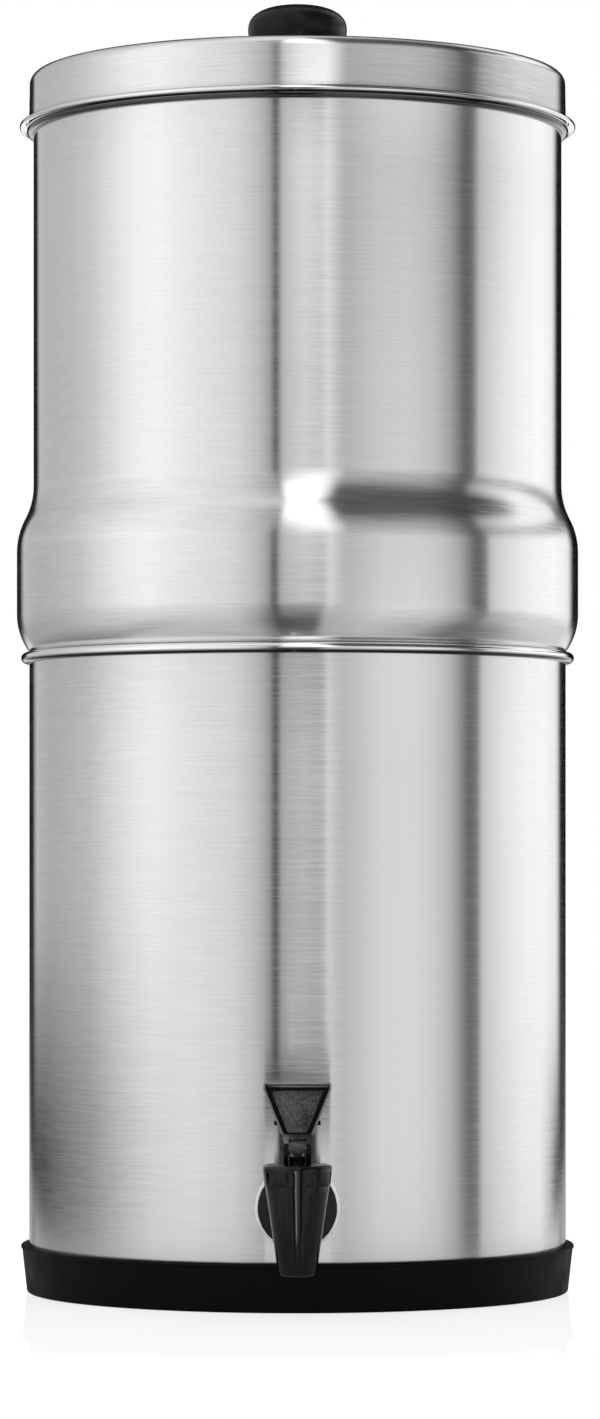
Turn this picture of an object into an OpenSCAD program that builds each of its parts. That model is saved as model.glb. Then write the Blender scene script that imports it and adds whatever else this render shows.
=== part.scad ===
// Gravity water filter. Water poured into the upper steel chamber seeps through
// ceramic candles into the lower one, and a self-closing lever tap lets it out.
// Z = 0 is the surface it stands on, the Z axis is the chambers' common axis,
// and the tap faces -Y.

/* [Chambers] */
// Outer diameter of the lower chamber's straight wall
body_d = 216; // [206:1:226]
// How far the upper chamber's neck is set in from the lower wall
neck_in = 1.7; // [1:0.1:4]
// How far the upper chamber's bulge stands out from the lower wall
bulge_out = 5; // [4.6:0.2:7]
// How far the nested foot of the upper chamber is set in
nest_in = 2.2; // [1.8:0.1:3]
// Thickness of the pressed steel sheet
sheet_t = 0.8; // [0.6:0.1:1]
// Section diameter of the lower rolled rim
lower_bead_d = 4.1; // [4:0.1:5]
// Section diameter of the upper rolled rim
upper_bead_d = 3.6; // [3.4:0.1:4.4]
// Height of the lower chamber's floor
lower_floor_z = 6; // [5:0.5:8]
// Height of the lower rolled rim's centre
lower_rim_z = 254.5; // [240:0.5:270]
// Height of the upper rolled rim's centre
upper_rim_z = 466.6; // [450:0.1:490]
// Outer radius of the lower chamber's floor corner
lower_corner_r = 6; // [4:0.5:10]
// Depth of the nested foot below the lower rim
nest_depth = 18.5; // [15:0.5:22]
// Outer radius of the nested foot's corner
nest_corner_r = 8; // [5:0.5:10]
// Radius of the hollow that rests over the lower rim
cradle_r = 4; // [3.8:0.1:4.4]
// Radius of the bulge's lower shoulder
shoulder_r = 25; // [24:0.5:26]
// Height of the bulge's widest line above the lower rim
shoulder_rise = 17.6; // [17:0.1:19]
// Straight height of the bulge
bulge_h = 24.7; // [20:0.1:36]
// Height of the S-shaped flare between bulge and neck
flare_h = 27; // [22:1:34]

/* [Lid] */
// Height of the lid's top edge above the upper rim
lid_rise = 22.4; // [18:0.1:30]
// Height of the lid's crown above its top edge
lid_crown = 1; // [0.5:0.1:2]
// Outer radius of the lid's top corner
lid_corner_r = 4; // [3:0.5:7]
// How far the lid's skirt stands out from the neck
skirt_out = 1.8; // [1.6:0.1:2.2]
// How far the hemmed brim reaches past the upper rim
brim_out = 2.8; // [2.5:0.1:3.4]
// Slope of the brim in degrees
brim_slope = 9; // [8:1:24]
// Thickness of the rolled hem on the brim's edge
hem_d = 1.9; // [1.9:0.1:2.4]
// Widest diameter of the knob
knob_d = 39.9; // [34:0.1:46]
// Height of the knob
knob_h = 27.6; // [25:0.1:34]
// Diameter of the knob's neck
knob_neck_d = 23; // [20:0.5:26]

/* [Base ring] */
// Height of the rubber base ring
ring_h = 19.2; // [14:0.1:24]
// Outer diameter of the ring at its foot
ring_foot_d = 218; // [217:0.5:222]
// Outer diameter of the ring at its lip
ring_lip_d = 222.6; // [222:0.2:226]
// Radius of the ring's rounded lip
ring_lip_r = 1; // [0.6:0.1:1.2]
// Radius of the edge round the ring's foot
ring_foot_r = 1.2; // [0.8:0.1:2]
// Inner diameter of the ring's floor flange
ring_inner_d = 192; // [170:1:196]

/* [Tap] */
// Height of the tap's shank
tap_z = 40.5; // [38:0.5:46]
// Distance of the spout's axis from the chambers' axis
tap_reach = 133; // [130:0.5:138]
// Diameter of the spout under its bonnet
spout_top_d = 24.3; // [23.8:0.1:25]
// Diameter of the spout at its tip
spout_tip_d = 14.3; // [14:0.1:16]
// Height of the spout's tip
spout_tip_z = 16.2; // [12:0.1:18]
// Height of the spout above its shank's axis
spout_rise = 9.9; // [9:0.1:10.5]
// Diameter of the bore in the spout and shank
bore_d = 9; // [8:0.1:9]
// Diameter of the tap's mounting flange
flange_d = 30.4; // [28:0.1:32]
// Diameter of the white washer behind the flange
washer_d = 32.4; // [32.2:0.1:34]
// Diameter of the bonnet
bonnet_d = 26.4; // [25.5:0.1:27]
// Height of the bonnet up to its flat top
bonnet_h = 8.1; // [8:0.1:9]
// Grip flutes round the bonnet
flutes = 8; // [4:1:12]
// Height of the lever's pin above the bonnet
pin_rise = 6.1; // [6:0.1:6.6]
// Lift of the cam foot for each radian the lever tilts
cam_lift = 3; // [2:0.1:3]
// Tilt of the fully open lever
open_tilt = 60; // [45:1:60]
// Height of the lever's paddle
paddle_h = 20.5; // [18:0.5:24]
// Width of the paddle at its top
paddle_w = 26.3; // [22:0.1:28]

/* [Filters] */
// Diameter of a ceramic candle
candle_d = 50; // [46:1:56]
// Height of a candle above the upper floor
candle_h = 172; // [120:1:200]
// Diameter of a candle's plastic base
candle_base_d = 54; // [52:1:60]
// Diameter of the hollow threaded stems
stem_d = 12; // [11:0.5:12]
// Diameter of the circle on which the stems stand
stem_circle_d = 105; // [100:1:110]

/* [Hidden] */
$fn = 96;
SINGLE_NODES = [
    "lower_chamber", "base_ring", "upper_chamber",
    "lid", "lid_knob", "lid_knob_screw", "lid_knob_washer",
    "tap_body", "tap_bonnet", "tap_lever", "tap_lever_pin", "tap_stem",
    "tap_stem_spring", "tap_seat_cup", "tap_outer_washer", "tap_inner_washer",
    "tap_nut"
];
PAIRED_NODES = [
    "candle_shell", "candle_core", "candle_base", "candle_washer",
    "candle_wing_nut", "plug", "plug_washer", "plug_wing_nut"
];

STEEL = [0.78, 0.78, 0.79];
BLACK = [0.06, 0.06, 0.065];
RUBBER = [0.09, 0.09, 0.095];
SILICONE = [0.93, 0.93, 0.92];
CERAMIC = [0.95, 0.94, 0.9];
CARBON = [0.16, 0.16, 0.17];
PALE_PLASTIC = [0.8, 0.83, 0.86];

wall_r = body_d / 2;
lower_bead_r = lower_bead_d / 2;
upper_bead_r = upper_bead_d / 2;
curl_end = -60;
neck_r = wall_r - neck_in;
bulge_r = wall_r + bulge_out;
nest_r = wall_r - nest_in;

// The nested foot: its floor, the hollow over the lower rim and the shoulder
nest_z = lower_rim_z - nest_depth;
shoulder_z = lower_rim_z + shoulder_rise;
shoulder_x = bulge_r - shoulder_r;
cradle_x = nest_r + cradle_r;
cradle_z = shoulder_z - sqrt(pow(shoulder_r + cradle_r, 2) - pow(cradle_x - shoulder_x, 2));
cradle_turn = atan2(shoulder_z - cradle_z, cradle_x - shoulder_x);

// The flare: two equal arcs that carry the bulge in to the neck
flare_z = shoulder_z + bulge_h;
flare_turn = 2 * atan((bulge_r - neck_r) / flare_h);
flare_r = flare_h / 2 / sin(flare_turn);
upper_floor_z = nest_z + sheet_t;

// The lid: a cap whose sloping brim rides on the upper rim and ends in a hem
rim_gap = 0.3;
rim_x = neck_r - sheet_t + upper_bead_r;
skirt_r = neck_r + skirt_out;
lid_z = upper_rim_z + lid_rise;
lid_top_z = lid_z + lid_crown;
lid_under_z = lid_top_z - sheet_t;
crease_r = 0.5;
hem_r = hem_d / 2;
hem_x = rim_x + upper_bead_r + brim_out - hem_r;
hem_z = upper_rim_z + (upper_bead_r + rim_gap + sheet_t - hem_r) / cos(brim_slope)
    - (hem_x - rim_x) * tan(brim_slope);
hem_end = -100;
knob_belt_z = 0.64 * knob_h;
knob_screw_d = 4;
screw_head_h = 2.8;
lid_washer_t = 1;

// The tap
shank_d = 16;
flange_face = wall_r + 2.6;
flange_t = 3;
shank_in = 20;
spout_top_z = tap_z + spout_rise;
taper = atan2((spout_top_d - spout_tip_d) / 2, spout_top_z - spout_tip_z);
seat_z = tap_z - 5.5;
cavity_r = 8.2;
collar_h = 4;
collar_r = 10.5;
cup_flange_t = 1.5;
inner_washer_face = wall_r - sheet_t - 3;
bonnet_z = spout_top_z + bonnet_h;
bonnet_under_z = spout_top_z + collar_h + cup_flange_t;
guide_r = 3.1;
guide_h = 2.9;
pin_z = bonnet_z + pin_rise;
pin_r = 1.25;
spindle_r = 1.6;
shoulder_disc_z = tap_z + 0.8;
shoulder_disc_t = 1.2;
wire_d = 0.7;
slot_w = 6.6;
leg_t = 1.8;
neck_depth = 6.4;
eye_r = 3.3;
paddle_z = 4.6;
paddle_t = 4.2;
paddle_foot_w = 12.4;
yoke_w = 11.1;
yoke_h = 1.7;

// The filters
washer_t = 2;
base_h = 13.5;
stem_end_z = nest_z - 32;
base_z = upper_floor_z + washer_t;

// ---- Outlines ----

// Points along an arc about c, from angle a0 to angle a1
function arc(c, r, a0, a1, n = 8) =
    [for (i = [0 : n]) let (a = a0 + (a1 - a0) * i / n) c + r * [cos(a), sin(a)]];

function unit(v) = v / norm(v);
function left_of(v) = [-v.y, v.x];
function heading(p, i) = unit(p[i + 1] - p[i]);

// The path without points that repeat the one before
function without_repeats(p) =
    [for (i = [0 : len(p) - 1]) if (i == 0 || norm(p[i] - p[max(i - 1, 0)]) > 0.001) p[i]];

// The path moved sideways by t, to the left of its own direction
function shifted(p, t) =
    [for (i = [0 : len(p) - 1])
        let (before = left_of(heading(p, max(i - 1, 0))),
             after = left_of(heading(p, min(i, len(p) - 2))),
             n = unit(before + after))
        p[i] + n * t / (n * before)];

function reversed(p) = [for (i = [len(p) - 1 : -1 : 0]) p[i]];

// A closed outline of sheet metal t thick, on the left of the path p
function sheet(p, t) = let (q = without_repeats(p)) concat(q, reversed(shifted(q, t)));

module spun(outline) {
    rotate_extrude() polygon(outline);
}

// Places its children with their Z axis along +Y, on the tap's shank
module along_shank(y) {
    translate([0, y, tap_z]) rotate([-90, 0, 0]) children();
}

module at_spout(z = 0) {
    translate([0, -tap_reach, z]) children();
}

// ---- Steel chambers ----

module lower_chamber() {
    path = concat(
        [[0, lower_floor_z]],
        arc([wall_r - lower_corner_r, lower_floor_z + lower_corner_r], lower_corner_r, -90, 0),
        arc([wall_r - sheet_t + lower_bead_r, lower_rim_z], lower_bead_r - sheet_t, 180, curl_end, 14)
    );
    color(STEEL) difference() {
        spun(sheet(path, sheet_t));
        along_shank(-wall_r - 5) cylinder(h = 20, d = shank_d + 0.4);
    }
}

module upper_chamber() {
    path = concat(
        [[0, nest_z]],
        arc([nest_r - nest_corner_r, nest_z + nest_corner_r], nest_corner_r, -90, 0),
        arc([cradle_x, cradle_z], cradle_r, 180, 180 - cradle_turn, 5),
        arc([shoulder_x, shoulder_z], shoulder_r, -cradle_turn, 0),
        arc([bulge_r - flare_r, flare_z], flare_r, 0, flare_turn, 7),
        arc([neck_r + flare_r, flare_z + flare_h], flare_r, 180 + flare_turn, 180, 7),
        arc([rim_x, upper_rim_z], upper_bead_r - sheet_t, 180, curl_end, 14)
    );
    color(STEEL) difference() {
        spun(sheet(path, sheet_t));
        for (a = [0 : 90 : 270]) rotate(a) translate([stem_circle_d / 2, 0, nest_z - 2])
            cylinder(h = 6, d = stem_d + 0.5);
    }
}

module base_ring() {
    foot_r = ring_foot_d / 2;
    lip_r = ring_lip_d / 2;
    color(RUBBER) spun(concat(
        [[ring_inner_d / 2, 0]],
        arc([foot_r - ring_foot_r, ring_foot_r], ring_foot_r, -90, 0, 4),
        arc([lip_r - ring_lip_r, ring_h - ring_lip_r], ring_lip_r, -60, 90, 6),
        [[wall_r + 0.05, ring_h], [wall_r + 0.05, lower_floor_z], [ring_inner_d / 2, lower_floor_z]]
    ));
}

// ---- Lid ----

module lid() {
    seat_r = knob_neck_d / 2 + 2;
    crown_w = skirt_r - lid_corner_r - seat_r;
    crown_r = (pow(crown_w, 2) + pow(lid_crown, 2)) / 2 / lid_crown;
    crease_x = skirt_r + crease_r;
    crease_z = hem_z + (hem_r + crease_r) / cos(brim_slope) + (hem_x - crease_x) * tan(brim_slope);
    path = concat(
        [[0, lid_top_z]],
        arc([seat_r, lid_top_z - crown_r], crown_r, 90, 90 - asin(crown_w / crown_r), 6),
        arc([skirt_r - lid_corner_r, lid_z - lid_corner_r], lid_corner_r, 90, 0),
        arc([crease_x, crease_z], crease_r, 180, 270 - brim_slope, 3),
        arc([hem_x, hem_z], hem_r, 90 - brim_slope, hem_end, 8)
    );
    color(STEEL) difference() {
        spun(sheet(path, -sheet_t));
        translate([0, 0, lid_under_z - 5]) cylinder(h = 10, d = knob_screw_d + 0.6);
    }
}

// A mushroom knob: a superellipse dome over a belt that tucks under to the neck
module lid_knob() {
    r = knob_d / 2;
    dome_h = knob_h - knob_belt_z;
    tuck_h = 9;
    neck_r = knob_neck_d / 2;
    dome = [for (i = [0 : 12]) let (a = i * 7.5)
        [r * pow(cos(a), 0.8), knob_belt_z + dome_h * pow(sin(a), 0.8)]];
    tuck = [for (i = [1 : 6]) let (a = i * 15)
        [neck_r + (r - neck_r) * cos(a), knob_belt_z - tuck_h * sin(a)]];
    color(BLACK) translate([0, 0, lid_top_z]) difference() {
        spun(concat(
            reversed(dome),
            tuck,
            arc([neck_r + 1.2, 2.2], 2.2, 180, 250, 4),
            [[0, 0]]
        ));
        translate([0, 0, -1]) cylinder(h = 14, d = knob_screw_d);
    }
}

module lid_knob_washer() {
    color(RUBBER) translate([0, 0, lid_under_z - lid_washer_t]) difference() {
        cylinder(h = lid_washer_t, d = 14);
        translate([0, 0, -1]) cylinder(h = lid_washer_t + 2, d = knob_screw_d + 0.4);
    }
}

module lid_knob_screw() {
    head_z = lid_under_z - lid_washer_t - screw_head_h;
    color(STEEL) translate([0, 0, head_z]) difference() {
        union() {
            spun(concat([[0, 0]], arc([3, 1.8], 1.8, -90, 0, 4), [[4.8, screw_head_h], [0, screw_head_h]]));
            cylinder(h = screw_head_h + 14, d = knob_screw_d);
        }
        translate([-0.6, -6, -1]) cube([1.2, 12, 2.1]);
    }
}

// ---- Tap ----

// Spout and shank, moulded in one piece
module tap_body() {
    tip_r = spout_tip_d / 2;
    lip = 1.5;
    lip_x = tip_r + lip * tan(taper) - lip / cos(taper);
    color(BLACK) difference() {
        union() {
            at_spout() spun(concat(
                [[0, spout_tip_z]],
                arc([lip_x, spout_tip_z + lip], lip, -90, -taper, 5),
                [
                    [spout_top_d / 2, spout_top_z],
                    [collar_r, spout_top_z],
                    [collar_r, spout_top_z + collar_h],
                    [0, spout_top_z + collar_h]
                ]
            ));
            along_shank(-tap_reach) cylinder(h = tap_reach - flange_face + shank_in, d = shank_d);
            along_shank(-flange_face - flange_t - 3.5)
                cylinder(h = 3.6, r1 = shank_d / 2, r2 = shank_d / 2 + 2);
            along_shank(-flange_face) spun(concat(
                [[0, 0]],
                [[flange_d / 2, 0]],
                arc([flange_d / 2 - 1, 1 - flange_t], 1, 0, -90, 4),
                [[0, -flange_t]]
            ));
        }
        at_spout(seat_z) cylinder(h = 40, r = cavity_r);
        at_spout(spout_tip_z - 1) cylinder(h = 40, d = bore_d + 1);
        along_shank(-tap_reach) cylinder(h = tap_reach, d = bore_d);
    }
}

// One arch-topped grip flute, cut into the bonnet at radius r
module flute(r, w = 2.3) {
    side_h = 3.6;
    translate([0, -r, 0]) rotate([90, 0, 0]) linear_extrude(3) {
        translate([-w / 2, 0]) square([w, side_h]);
        translate([0, side_h]) circle(d = w);
    }
}

// Screwed cap over the spout, with the guide that the stem slides in
module tap_bonnet() {
    top_r = bonnet_d / 2;
    foot_r = top_r - 0.7;
    color(BLACK) at_spout() difference() {
        union() {
            spun(concat(
                [[0, spout_top_z], [foot_r, spout_top_z]],
                arc([top_r - 1.5, bonnet_z - 1.5], 1.5, 0, 90, 5),
                [[0, bonnet_z]]
            ));
            translate([0, 0, bonnet_z - 1]) cylinder(h = guide_h + 1, r = guide_r);
        }
        translate([0, 0, spout_top_z - 1])
            cylinder(h = bonnet_under_z - spout_top_z + 1, r = collar_r + 0.05);
        translate([0, 0, spout_top_z]) cylinder(h = 20, r = spindle_r + 0.1);
        for (i = [0 : flutes - 1]) rotate(i * 360 / flutes - 14)
            translate([0, 0, spout_top_z + 0.9]) flute(foot_r - 0.25);
    }
}

// Clamping washers take the wall's curve on one face and stay flat on the other
module tap_outer_washer() {
    color(SILICONE) difference() {
        along_shank(-flange_face) cylinder(h = 8, d = washer_d);
        cylinder(h = 2 * tap_z, r = wall_r, $fn = 480);
        along_shank(-flange_face - 1) cylinder(h = 10, d = shank_d + 0.2);
    }
}

module tap_inner_washer() {
    color(SILICONE) difference() {
        intersection() {
            along_shank(-wall_r) cylinder(h = wall_r - inner_washer_face, d = 26);
            cylinder(h = 2 * tap_z, r = wall_r - sheet_t, $fn = 480);
        }
        along_shank(-wall_r - 1) cylinder(h = 10, d = shank_d + 0.2);
    }
}

module tap_nut() {
    nut_t = 7;
    color(BLACK) along_shank(-inner_washer_face) difference() {
        union() {
            cylinder(h = 1.6, d = 28);
            cylinder(h = nut_t, d = 27.7, $fn = 6);
        }
        translate([0, 0, -1]) cylinder(h = nut_t + 2, d = shank_d + 0.1);
    }
}

// The cam foot in the lever's own YZ plane, pin at the origin. Its distance from
// the pin grows evenly with the angle, so the stem rises evenly as the lever tilts.
function cam_point(a, reach) =
    let (h = reach + cam_lift * a * PI / 180)
    [-h * sin(a) - cam_lift * cos(a), -h * cos(a) + cam_lift * sin(a)];

module lever_leg() {
    reach = pin_rise - 0.15;
    outline = concat(
        [[neck_depth / 2, paddle_z], [neck_depth / 2, -reach]],
        [for (i = [0 : 10]) cam_point(open_tilt * i / 10, reach)],
        [[-neck_depth / 2, 1.8], [-neck_depth / 2, paddle_z]]
    );
    rotate([90, 0, 90]) linear_extrude(leg_t) polygon(outline);
}

module paddle_outline(inset) {
    corner = 1.3;
    half = paddle_w / 2;
    foot = paddle_foot_w / 2;
    offset(r = corner) offset(delta = -corner - inset) polygon([
        [-foot, 0], [foot, 0], [half, paddle_h - 3],
        [half, paddle_h], [-half, paddle_h], [-half, paddle_h - 3]
    ]);
}

// A slab of the paddle's outline, standing upright with its front face at y
module paddle_slab(y, t, inset) {
    translate([0, y + t, paddle_z]) rotate([90, 0, 0]) linear_extrude(t) paddle_outline(inset);
}

module tap_lever() {
    bevel = 0.7;
    rim = 2.9;
    color(BLACK) at_spout(pin_z) difference() {
        union() {
            translate([slot_w / 2, 0, 0]) lever_leg();
            translate([-slot_w / 2 - leg_t, 0, 0]) lever_leg();
            difference() {
                translate([-yoke_w / 2, -neck_depth / 2, paddle_z - yoke_h])
                    cube([yoke_w, neck_depth, yoke_h + 0.1]);
                translate([-slot_w / 2, -neck_depth, 0]) cube([slot_w, 2 * neck_depth, eye_r + 0.4]);
            }
            hull() {
                paddle_slab(-paddle_t / 2, paddle_t, bevel);
                paddle_slab(-paddle_t / 2 + bevel, paddle_t - 2 * bevel, 0);
            }
            for (side = [-1, 1]) translate([side * 7.8, 0, paddle_z + 4.8])
                cube([2, 1.6, 1.6], center = true);
        }
        translate([0, -paddle_t / 2 + 1.3, paddle_z + 2.2]) rotate([90, 0, 0]) linear_extrude(3)
            polygon([
                [-rim, 0], [rim, 0],
                [paddle_w / 2 - rim - 1.8, paddle_h - 5.6], [-paddle_w / 2 + rim + 1.8, paddle_h - 5.6]
            ]);
        rotate([0, 90, 0]) cylinder(h = 40, r = pin_r, center = true);
    }
}

module tap_lever_pin() {
    color(STEEL) at_spout(pin_z) rotate([0, 90, 0])
        cylinder(h = slot_w + 2 * leg_t, r = pin_r, center = true);
}

// The eye is tulip shaped from the front and round from the side
module tap_stem() {
    eye_w = slot_w - 0.4;
    waist = 1.3;
    barb_z = shoulder_disc_z - 2.2;
    color(BLACK) at_spout() difference() {
        union() {
            translate([0, 0, pin_z]) intersection() {
                rotate([0, 90, 0]) cylinder(h = eye_w, r = eye_r, center = true);
                rotate([90, 0, 0]) linear_extrude(2 * eye_r, center = true) polygon([
                    [-eye_w / 2, eye_r], [-eye_w / 2, 0], [-eye_w / 2 + 0.5, -1.6], [-waist, -eye_r],
                    [waist, -eye_r], [eye_w / 2 - 0.5, -1.6], [eye_w / 2, 0], [eye_w / 2, eye_r]
                ]);
            }
            translate([0, 0, barb_z]) cylinder(h = pin_z - barb_z - 2, r = spindle_r);
            translate([0, 0, shoulder_disc_z]) cylinder(h = shoulder_disc_t, r = 4);
            translate([0, 0, barb_z - 1]) cylinder(h = 1.4, r = 2.4);
        }
        translate([0, 0, pin_z]) rotate([0, 90, 0]) cylinder(h = 20, r = pin_r + 0.04, center = true);
    }
}

// Height along the spring: closed turns at both ends, open turns between them
function spring_rise(turn, turns, h) =
    turn <= 1 ? turn * wire_d * 1.05
    : turn >= turns - 1 ? h - (turns - turn) * wire_d * 1.05
    : wire_d * 1.05 + (turn - 1) / (turns - 2) * (h - 2.1 * wire_d);

module tap_stem_spring() {
    turns = 9;
    steps = 14;
    sides = 8;
    coil_r = 3;
    z0 = shoulder_disc_z + shoulder_disc_t + wire_d / 2;
    h = bonnet_under_z - z0 - wire_d / 2;
    rings = turns * steps;
    points = [for (i = [0 : rings]) let (a = 360 * i / steps) for (j = [0 : sides - 1])
        let (b = 360 * j / sides, r = coil_r + wire_d / 2 * cos(b))
        [r * cos(a), r * sin(a), z0 + spring_rise(i / steps, turns, h) + wire_d / 2 * sin(b)]];
    sides_faces = [for (i = [0 : rings - 1]) for (j = [0 : sides - 1]) let (k = (j + 1) % sides)
        [i * sides + j, i * sides + k, (i + 1) * sides + k, (i + 1) * sides + j]];
    end_faces = [
        [for (j = [sides - 1 : -1 : 0]) j],
        [for (j = [0 : sides - 1]) rings * sides + j]
    ];
    color(STEEL) at_spout() polyhedron(points, concat(sides_faces, end_faces), convexity = 10);
}

// Silicone bell: its flange is clamped under the bonnet, its nose closes the seat
module tap_seat_cup() {
    flange_z = spout_top_z + collar_h;
    color(SILICONE) at_spout() spun([
        [0, seat_z + 0.02], [5.6, seat_z + 0.02], [6.8, seat_z + 1.4], [6.8, tap_z + 2],
        [6.2, tap_z + 6], [6.6, flange_z], [collar_r - 0.1, flange_z],
        [collar_r - 0.1, bonnet_under_z], [5.6, bonnet_under_z], [5.2, tap_z + 6],
        [5.8, tap_z + 2], [5.8, shoulder_disc_z - 0.05], [spindle_r + 0.1, shoulder_disc_z - 0.05],
        [spindle_r + 0.1, shoulder_disc_z - 1.7], [2.5, shoulder_disc_z - 1.7],
        [2.5, shoulder_disc_z - 3.3], [0, shoulder_disc_z - 3.3]
    ]);
}

// ---- Filters ----

// Candles stand left and right of the axis, blanking plugs front and back
module at_candle(i) {
    rotate(180 * (i - 1)) translate([stem_circle_d / 2, 0, 0]) children();
}

module at_plug(i) {
    rotate(180 * (i - 1) - 90) translate([stem_circle_d / 2, 0, 0]) children();
}

module candle_shell() {
    r = candle_d / 2;
    wall = 7.5;
    dome = 15;
    z0 = base_z + 4;
    z1 = upper_floor_z + candle_h;
    color(CERAMIC) spun(concat(
        [[r - wall, z0], [r, z0]],
        arc([r - dome, z1 - dome - 1], dome, 0, 84, 9),
        [[0, z1], [0, z1 - wall]],
        arc([r - dome, z1 - dome - 1], dome - wall, 84, 0, 6)
    ));
}

module candle_core() {
    r = candle_d / 2 - 7.7;
    z1 = upper_floor_z + candle_h - 18;
    color(CARBON) translate([0, 0, base_z + 4]) difference() {
        cylinder(h = z1 - base_z - 4, r = r);
        translate([0, 0, -1]) cylinder(h = z1 - base_z - 15, d = 8);
    }
}

module candle_base() {
    r = candle_base_d / 2;
    color(PALE_PLASTIC) difference() {
        union() {
            spun(concat(
                [[0, base_z]],
                arc([r - 1.5, base_z + 1.5], 1.5, -90, 0, 4),
                arc([r - 0.6, base_z + base_h - 0.6], 0.6, 0, 90, 3),
                [[candle_d / 2 + 0.1, base_z + base_h], [candle_d / 2 + 0.1, base_z + 4], [0, base_z + 4]]
            ));
            translate([0, 0, stem_end_z]) cylinder(h = base_z - stem_end_z + 1, d = stem_d);
        }
        translate([0, 0, stem_end_z - 1]) cylinder(h = 60, d = 6);
    }
}

module flat_washer(d) {
    color(SILICONE) translate([0, 0, upper_floor_z]) difference() {
        cylinder(h = washer_t, d = d);
        translate([0, 0, -1]) cylinder(h = washer_t + 2, d = stem_d + 0.2);
    }
}

module candle_washer() {
    flat_washer(30);
}

module plug_washer() {
    flat_washer(22);
}

// Wing nut screwed up against the underside of the upper floor
module wing_nut() {
    hub_h = 9;
    color(PALE_PLASTIC) translate([0, 0, nest_z]) rotate([180, 0, 0]) difference() {
        union() {
            cylinder(h = 2, d = 24);
            cylinder(h = hub_h, r1 = 9.5, r2 = 8.5);
            for (side = [0, 180]) rotate([90, 0, side]) translate([0, 0, -1.2]) linear_extrude(2.4) {
                translate([7, 0]) square([9, 9]);
                translate([12.5, 9]) circle(d = 7);
            }
        }
        translate([0, 0, -1]) cylinder(h = 20, d = stem_d + 0.1);
    }
}

module candle_wing_nut() {
    wing_nut();
}

module plug_wing_nut() {
    wing_nut();
}

// Blanking plug for an unused filter hole
module plug() {
    color(PALE_PLASTIC) union() {
        translate([0, 0, base_z]) spun(concat(
            [[0, 0], [11.5, 0]],
            arc([10.3, 2.8], 1.2, 0, 90, 4),
            [[0, 4]]
        ));
        translate([0, 0, nest_z - 17]) cylinder(h = base_z - nest_z + 18, d = stem_d);
    }
}

// ---- Nodes ----

lower_chamber();
base_ring();
upper_chamber();
lid();
lid_knob();
lid_knob_screw();
lid_knob_washer();
tap_body();
tap_bonnet();
tap_lever();
tap_lever_pin();
tap_stem();
tap_stem_spring();
tap_seat_cup();
tap_outer_washer();
tap_inner_washer();
tap_nut();
for (i = [1, 2]) {
    at_candle(i) candle_shell();
    at_candle(i) candle_core();
    at_candle(i) candle_base();
    at_candle(i) candle_washer();
    at_candle(i) candle_wing_nut();
    at_plug(i) plug();
    at_plug(i) plug_washer();
    at_plug(i) plug_wing_nut();
}
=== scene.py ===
from math import asin, atan, atan2, cos, degrees, pi, radians, sin, sqrt, tan

import bpy
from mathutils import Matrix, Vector


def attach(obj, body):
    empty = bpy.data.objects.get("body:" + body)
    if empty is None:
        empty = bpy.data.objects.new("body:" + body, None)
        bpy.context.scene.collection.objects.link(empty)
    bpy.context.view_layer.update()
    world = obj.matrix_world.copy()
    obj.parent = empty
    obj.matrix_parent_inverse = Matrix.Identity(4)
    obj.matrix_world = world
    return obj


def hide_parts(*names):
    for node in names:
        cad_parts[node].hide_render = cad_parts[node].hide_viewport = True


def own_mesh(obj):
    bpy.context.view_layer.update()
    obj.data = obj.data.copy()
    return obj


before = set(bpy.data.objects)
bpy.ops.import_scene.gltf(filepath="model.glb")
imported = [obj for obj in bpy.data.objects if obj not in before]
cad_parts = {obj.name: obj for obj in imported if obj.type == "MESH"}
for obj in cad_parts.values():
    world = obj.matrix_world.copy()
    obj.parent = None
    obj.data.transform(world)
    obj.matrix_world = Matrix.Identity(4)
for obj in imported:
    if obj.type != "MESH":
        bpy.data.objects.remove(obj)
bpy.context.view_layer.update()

# ---- Camera ----
# A long lens two metres in front of the filter, low and level. It is shifted up and
# not tilted, so that upright lines stay upright.
lens = bpy.data.cameras.new("camera")
lens.sensor_fit = "VERTICAL"
lens.sensor_height = 36
lens.lens = 129.1
lens.shift_y = 0.112
camera = bpy.data.objects.new("camera", lens)
camera.location = (0.0010, -2.052, 0.170)
camera.rotation_euler = (radians(90), 0, 0)
bpy.context.scene.collection.objects.link(camera)
bpy.context.scene.camera = camera
bpy.context.scene.view_settings.view_transform = "Standard"


# ---- Studio ----
# A white room. Polished things see a ring of white panels and dark flags in it, in
# tiers from the floor up, a white card straight behind the filter, two low boards
# beside it and a strip lamp before the tap. Azimuth 0 is the camera, +90 is +X.
def connect(tree, node, inputs):
    """Sets inputs of a node, each to a number, a colour or another node's output."""
    for key, value in dict(inputs).items():
        if isinstance(value, bpy.types.NodeSocket):
            tree.links.new(value, node.inputs[key])
        else:
            node.inputs[key].default_value = value


def add(tree, kind, inputs=(), **settings):
    """A new shader node with its settings and inputs."""
    made = tree.nodes.new("ShaderNode" + kind)
    for key, value in settings.items():
        setattr(made, key, value)
    connect(tree, made, inputs)
    return made


def maths(tree, operation, *values):
    """The result of a Math node."""
    return add(tree, "Math", enumerate(values), operation=operation).outputs[0]


def spread(tree, value, low, high, to_low=0.0, to_high=1.0):
    """A value's range from low to high, moved to the one from to_low to to_high."""
    return add(tree, "MapRange", {0: value, 1: low, 2: high, 3: to_low, 4: to_high}).outputs[0]


def blended(tree, share, first, second):
    """A colour that goes from the first to the second as share goes from 0 to 1."""
    return add(tree, "Mix", {0: share, 6: first, 7: second}, data_type="RGBA").outputs[2]


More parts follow.
